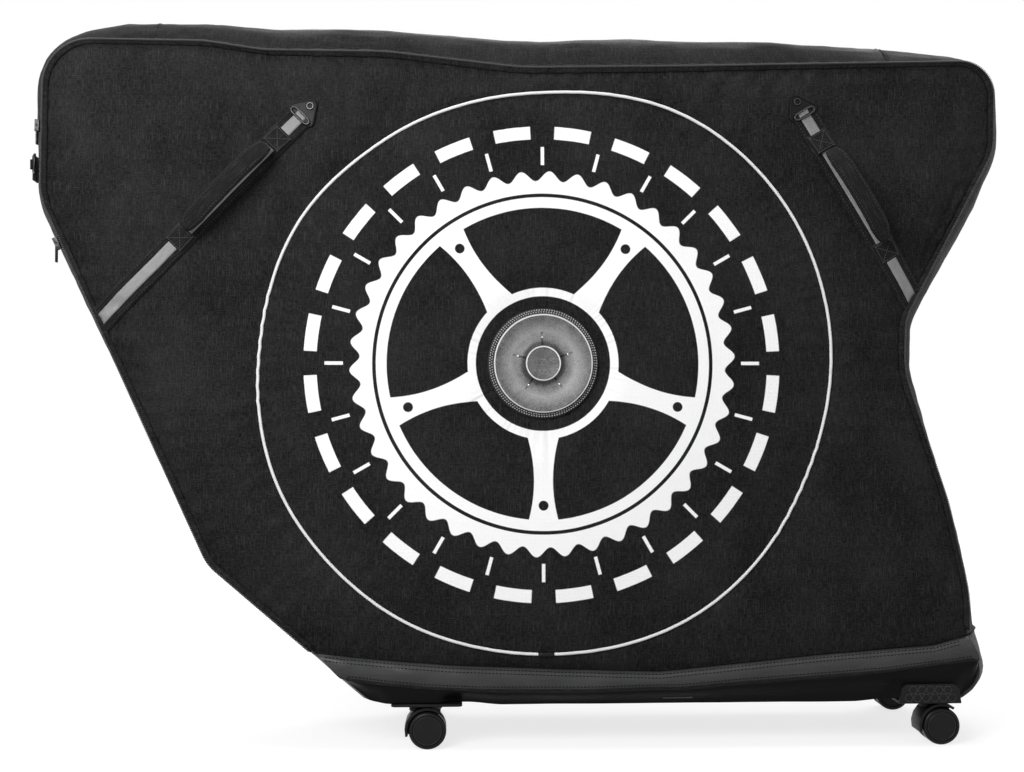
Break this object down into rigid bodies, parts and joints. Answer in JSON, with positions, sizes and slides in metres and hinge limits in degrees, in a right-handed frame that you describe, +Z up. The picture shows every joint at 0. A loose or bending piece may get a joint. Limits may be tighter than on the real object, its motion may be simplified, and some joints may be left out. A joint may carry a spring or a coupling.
{
  "type": "bike travel bag",
  "caption": "Soft padded travel bag for a bicycle, with a zip-open side, inner wheel pockets, side handles and swivel castors under a base frame.",
  "frame": {"origin": "on the floor under the middle of the bag's bounding box", "axes": "+X along the bag from its nose to its tail, -Y the side that zips open, +Z up"},
  "size_m": [1.3394, 0.3366, 0.9891],
  "materials": {
    "black_nylon": "fine ripstop weave, matt",
    "coated_fabric": "coated cloth with a soft sheen",
    "black_webbing": "woven webbing",
    "white_piping": "smooth piping cord",
    "grey_guard": "satin moulded rubbery plastic",
    "black_plastic": "moulded",
    "castor_wheel": "moulded, lightly worn",
    "steel": "bright plated",
    "painted_frame": "black powder coat",
    "grey_lining": "plain lining"
  },
  "bodies": {
    "bag": {"base_boot": "coated_fabric", "side_panel_rear": "black_nylon", "gusset_nose": "black_nylon", "gusset_top": "black_nylon", "gusset_tail": "black_nylon", "wheel_pocket_rear": "grey_lining", "wheel_piping_rear": "white_piping", "hub_guard_rear": "grey_guard", "zip_bag_half": "black_plastic", "lock_tab": "black_webbing", "base_frame": "painted_frame", "fork_mount": "painted_frame", "fork_skewer": "steel", "castor_bracket_nose_front": "black_plastic", "webbing_nose_rear": "black_webbing", "anchor_nose_rear": "steel", "castor_bracket_nose_rear": "black_plastic", "castor_bracket_tail_front": "black_plastic", "webbing_tail_rear": "black_webbing", "anchor_tail_rear": "steel", "castor_bracket_tail_rear": "black_plastic"},
    "door": {"side_panel_front": "black_nylon", "wheel_pocket_front": "grey_lining", "wheel_piping_front": "white_piping", "hub_guard_front": "grey_guard", "zip_door_half": "black_plastic", "webbing_nose_front": "black_webbing", "webbing_tail_front": "black_webbing", "anchor_nose_front": "steel", "anchor_tail_front": "steel"},
    "slider_upper": {"zip_slider_upper": "steel"},
    "slider_lower": {"zip_slider_lower": "steel"},
    "pull_upper": {"zip_slider_upper_pull": "steel"},
    "pull_lower": {"zip_slider_lower_pull": "steel"},
    "ring": {"lock_ring": "steel"},
    "rear_support": {"rear_mount": "painted_frame", "rear_skewer": "steel"},
    "rear_release": {"rear_lever": "steel"},
    "fork_release": {"fork_lever": "steel"},
    "grip_nose_front": {"grip_nose_front": "black_webbing"},
    "grip_tail_front": {"grip_tail_front": "black_webbing"},
    "grip_nose_rear": {"grip_nose_rear": "black_webbing"},
    "grip_tail_rear": {"grip_tail_rear": "black_webbing"},
    "castor_nose_front": {"castor_housing_nose_front": "black_plastic", "castor_axle_nose_front": "steel"},
    "wheel_nose_front_outer": {"castor_wheel_nose_front_outer": "castor_wheel"},
    "wheel_nose_front_inner": {"castor_wheel_nose_front_inner": "castor_wheel"},
    "castor_nose_rear": {"castor_housing_nose_rear": "black_plastic", "castor_axle_nose_rear": "steel"},
    "wheel_nose_rear_outer": {"castor_wheel_nose_rear_outer": "castor_wheel"},
    "wheel_nose_rear_inner": {"castor_wheel_nose_rear_inner": "castor_wheel"},
    "castor_tail_front": {"castor_housing_tail_front": "black_plastic", "castor_axle_tail_front": "steel"},
    "wheel_tail_front_outer": {"castor_wheel_tail_front_outer": "castor_wheel"},
    "wheel_tail_front_inner": {"castor_wheel_tail_front_inner": "castor_wheel"},
    "castor_tail_rear": {"castor_housing_tail_rear": "black_plastic", "castor_axle_tail_rear": "steel"},
    "wheel_tail_rear_outer": {"castor_wheel_tail_rear_outer": "castor_wheel"},
    "wheel_tail_rear_inner": {"castor_wheel_tail_rear_inner": "castor_wheel"}
  },
  "joints": [
    {"name": "door_hinge", "type": "hinge", "parent": "bag", "child": "door", "pos_m": [0, -0.145, 0.1023], "axis": [1, 0, 0], "range_deg": [0, 90]},
    {"name": "slider_upper_slide", "type": "slide", "parent": "bag", "child": "slider_upper", "axis": [0.0092, 0.0467, 0.9989], "range_m": [-0.05, 0.04]},
    {"name": "slider_lower_slide", "type": "slide", "parent": "bag", "child": "slider_lower", "axis": [-0.4164, 0.0427, 0.9082], "range_m": [-0.4, 0.03]},
    {"name": "pull_upper_hinge", "type": "hinge", "parent": "slider_upper", "child": "pull_upper", "pos_m": [-0.64637, -0.10674, 0.82606], "axis": [0.0021, 0.9989, -0.0467], "range_deg": [0, 110]},
    {"name": "pull_lower_hinge", "type": "hinge", "parent": "slider_lower", "child": "pull_lower", "pos_m": [-0.6191, -0.11384, 0.66923], "axis": [0.0199, 0.9991, -0.0379], "range_deg": [-22, 110]},
    {"name": "lock_ring_hinge", "type": "hinge", "parent": "bag", "child": "ring", "pos_m": [-0.65879, -0.077, 0.7788], "axis": [0, 0, 1], "range_deg": [-110, 0]},
    {"name": "grip_nose_front_hinge", "type": "hinge", "parent": "door", "child": "grip_nose_front", "pos_m": [-0.39097, -0.12806, 0.74198], "axis": [0.695, 0.028, 0.7185], "range_deg": [-55, 55], "stiffness_Nm_per_rad": 0.02},
    {"name": "grip_tail_front_hinge", "type": "hinge", "parent": "door", "child": "grip_tail_front", "pos_m": [0.44235, -0.12778, 0.73567], "axis": [-0.5092, 0.0309, 0.8601], "range_deg": [-55, 55], "stiffness_Nm_per_rad": 0.02},
    {"name": "grip_nose_rear_hinge", "type": "hinge", "parent": "bag", "child": "grip_nose_rear", "pos_m": [-0.39097, 0.12806, 0.74198], "axis": [0.695, -0.028, 0.7185], "range_deg": [-55, 55], "stiffness_Nm_per_rad": 0.02},
    {"name": "grip_tail_rear_hinge", "type": "hinge", "parent": "bag", "child": "grip_tail_rear", "pos_m": [0.44235, 0.12778, 0.73567], "axis": [-0.5092, -0.0309, 0.8601], "range_deg": [-55, 55], "stiffness_Nm_per_rad": 0.02},
    {"name": "swivel_nose_front", "type": "hinge", "parent": "bag", "child": "castor_nose_front", "pos_m": [-0.14599, -0.1175, 0.025], "axis": [0, 0, 1], "continuous": true},
    {"name": "roll_nose_front_outer", "type": "hinge", "parent": "castor_nose_front", "child": "wheel_nose_front_outer", "pos_m": [-0.12899, -0.1175, 0.025], "axis": [0, 1, 0], "continuous": true},
    {"name": "roll_nose_front_inner", "type": "hinge", "parent": "castor_nose_front", "child": "wheel_nose_front_inner", "pos_m": [-0.12899, -0.1175, 0.025], "axis": [0, 1, 0], "continuous": true},
    {"name": "swivel_nose_rear", "type": "hinge", "parent": "bag", "child": "castor_nose_rear", "pos_m": [-0.14599, 0.1175, 0.025], "axis": [0, 0, 1], "continuous": true},
    {"name": "roll_nose_rear_outer", "type": "hinge", "parent": "castor_nose_rear", "child": "wheel_nose_rear_outer", "pos_m": [-0.12899, 0.1175, 0.025], "axis": [0, 1, 0], "continuous": true},
    {"name": "roll_nose_rear_inner", "type": "hinge", "parent": "castor_nose_rear", "child": "wheel_nose_rear_inner", "pos_m": [-0.12899, 0.1175, 0.025], "axis": [0, 1, 0], "continuous": true},
    {"name": "swivel_tail_front", "type": "hinge", "parent": "bag", "child": "castor_tail_front", "pos_m": [0.54238, -0.1175, 0.025], "axis": [0, 0, 1], "continuous": true},
    {"name": "roll_tail_front_outer", "type": "hinge", "parent": "castor_tail_front", "child": "wheel_tail_front_outer", "pos_m": [0.55938, -0.1175, 0.025], "axis": [0, 1, 0], "continuous": true},
    {"name": "roll_tail_front_inner", "type": "hinge", "parent": "castor_tail_front", "child": "wheel_tail_front_inner", "pos_m": [0.55938, -0.1175, 0.025], "axis": [0, 1, 0], "continuous": true},
    {"name": "swivel_tail_rear", "type": "hinge", "parent": "bag", "child": "castor_tail_rear", "pos_m": [0.54238, 0.1175, 0.025], "axis": [0, 0, 1], "continuous": true},
    {"name": "roll_tail_rear_outer", "type": "hinge", "parent": "castor_tail_rear", "child": "wheel_tail_rear_outer", "pos_m": [0.55938, 0.1175, 0.025], "axis": [0, 1, 0], "continuous": true},
    {"name": "roll_tail_rear_inner", "type": "hinge", "parent": "castor_tail_rear", "child": "wheel_tail_rear_inner", "pos_m": [0.55938, 0.1175, 0.025], "axis": [0, 1, 0], "continuous": true},
    {"name": "rear_mount_slide", "type": "slide", "parent": "bag", "child": "rear_support", "axis": [1, 0, 0], "range_m": [-0.01, 0.08]},
    {"name": "rear_lever_turn", "type": "hinge", "parent": "rear_support", "child": "rear_release", "pos_m": [-0.3599, 0, 0.33], "axis": [0, 1, 0], "range_deg": [-90, 90]},
    {"name": "fork_lever_turn", "type": "hinge", "parent": "bag", "child": "fork_release", "pos_m": [0.54188, 0, 0.15], "axis": [0, 1, 0], "range_deg": [-90, 90]}
  ]
}
